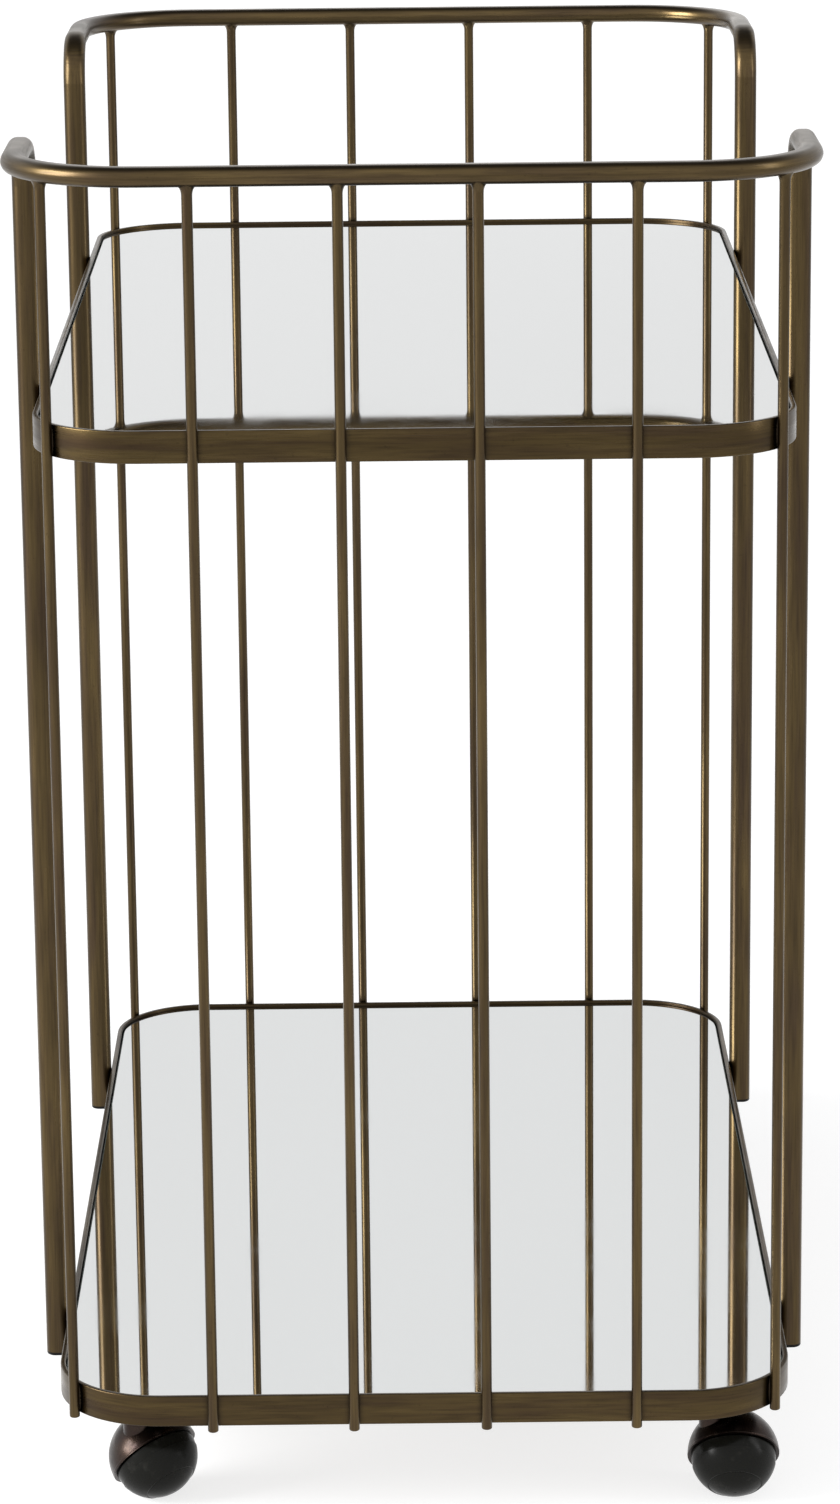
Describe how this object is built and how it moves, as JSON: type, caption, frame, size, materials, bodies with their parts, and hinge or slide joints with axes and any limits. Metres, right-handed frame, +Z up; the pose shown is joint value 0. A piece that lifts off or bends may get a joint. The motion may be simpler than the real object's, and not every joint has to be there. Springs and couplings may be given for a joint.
{
  "type": "bar cart",
  "caption": "Two-tier bar cart with mirrored trays in a bent tube frame with railed ends and upright rods, rolling on hooded ball casters.",
  "frame": {"origin": "on the floor, at the centre of the cart's footprint", "axes": "+X across the cart, +Y along its length away from the end that faces -Y, +Z up"},
  "size_m": [0.448, 0.76, 0.7815],
  "materials": {
    "antique_brass": "antique brass plating, brushed and darkened",
    "caster_bronze": "dark antique plating",
    "mirror_glass": "polished",
    "backing_board": "sealed fibreboard",
    "zinc_steel": "zinc plated",
    "black_nylon": "moulded",
    "black_rubber": "moulded"
  },
  "bodies": {
    "cart_frame": {"front_hoop": "antique_brass", "front_leg_caps": "black_nylon", "front_rod_1": "antique_brass", "front_rod_2": "antique_brass", "front_rod_3": "antique_brass", "front_rod_4": "antique_brass", "front_rod_5": "antique_brass", "front_rod_6": "antique_brass", "rear_hoop": "antique_brass", "rear_leg_caps": "black_nylon", "rear_rod_1": "antique_brass", "rear_rod_2": "antique_brass", "rear_rod_3": "antique_brass", "rear_rod_4": "antique_brass", "rear_rod_5": "antique_brass", "rear_rod_6": "antique_brass", "upper_tray_frame": "antique_brass", "upper_tray_ledge": "antique_brass", "upper_cross_bars": "antique_brass", "upper_board": "backing_board", "upper_mirror": "mirror_glass", "lower_tray_frame": "antique_brass", "lower_tray_ledge": "antique_brass", "lower_cross_bars": "antique_brass", "lower_board": "backing_board", "lower_mirror": "mirror_glass", "corner_plate_front_left": "antique_brass", "corner_plate_front_right": "antique_brass", "corner_plate_rear_left": "antique_brass", "corner_plate_rear_right": "antique_brass", "caster_screws": "zinc_steel", "caster_plate_front_left": "caster_bronze", "stem_front_left": "zinc_steel", "caster_plate_front_right": "caster_bronze", "stem_front_right": "zinc_steel", "caster_plate_rear_left": "caster_bronze", "stem_rear_left": "zinc_steel", "caster_plate_rear_right": "caster_bronze", "stem_rear_right": "zinc_steel"},
    "caster_front_left": {"swivel_washer_front_left": "zinc_steel", "hood_front_left": "caster_bronze", "axle_front_left": "zinc_steel"},
    "wheel_front_left": {"wheel_front_left": "black_nylon", "tread_front_left": "black_rubber"},
    "caster_front_right": {"swivel_washer_front_right": "zinc_steel", "hood_front_right": "caster_bronze", "axle_front_right": "zinc_steel"},
    "wheel_front_right": {"wheel_front_right": "black_nylon", "tread_front_right": "black_rubber"},
    "caster_rear_left": {"swivel_washer_rear_left": "zinc_steel", "hood_rear_left": "caster_bronze", "axle_rear_left": "zinc_steel"},
    "wheel_rear_left": {"wheel_rear_left": "black_nylon", "tread_rear_left": "black_rubber"},
    "caster_rear_right": {"swivel_washer_rear_right": "zinc_steel", "hood_rear_right": "caster_bronze", "axle_rear_right": "zinc_steel"},
    "wheel_rear_right": {"wheel_rear_right": "black_nylon", "tread_rear_right": "black_rubber"}
  },
  "joints": [
    {"name": "swivel_front_left", "type": "hinge", "parent": "cart_frame", "child": "caster_front_left", "pos_m": [-0.166, -0.325, 0.025], "axis": [0, 0, 1], "continuous": true},
    {"name": "roll_front_left", "type": "hinge", "parent": "caster_front_left", "child": "wheel_front_left", "pos_m": [-0.15681, -0.31729, 0.025], "axis": [0.4924, -0.5868, -0.6428], "continuous": true},
    {"name": "swivel_front_right", "type": "hinge", "parent": "cart_frame", "child": "caster_front_right", "pos_m": [0.166, -0.325, 0.025], "axis": [0, 0, 1], "continuous": true},
    {"name": "roll_front_right", "type": "hinge", "parent": "caster_front_right", "child": "wheel_front_right", "pos_m": [0.178, -0.325, 0.025], "axis": [0, -0.766, -0.6428], "continuous": true},
    {"name": "swivel_rear_left", "type": "hinge", "parent": "cart_frame", "child": "caster_rear_left", "pos_m": [-0.166, 0.325, 0.025], "axis": [0, 0, 1], "continuous": true},
    {"name": "roll_rear_left", "type": "hinge", "parent": "caster_rear_left", "child": "wheel_rear_left", "pos_m": [-0.15512, 0.33007, 0.025], "axis": [0.3237, -0.6943, -0.6428], "continuous": true},
    {"name": "swivel_rear_right", "type": "hinge", "parent": "cart_frame", "child": "caster_rear_right", "pos_m": [0.166, 0.325, 0.025], "axis": [0, 0, 1], "continuous": true},
    {"name": "roll_rear_right", "type": "hinge", "parent": "caster_rear_right", "child": "wheel_rear_right", "pos_m": [0.17759, 0.32811, 0.025], "axis": [0.1983, -0.7399, -0.6428], "continuous": true}
  ]
}
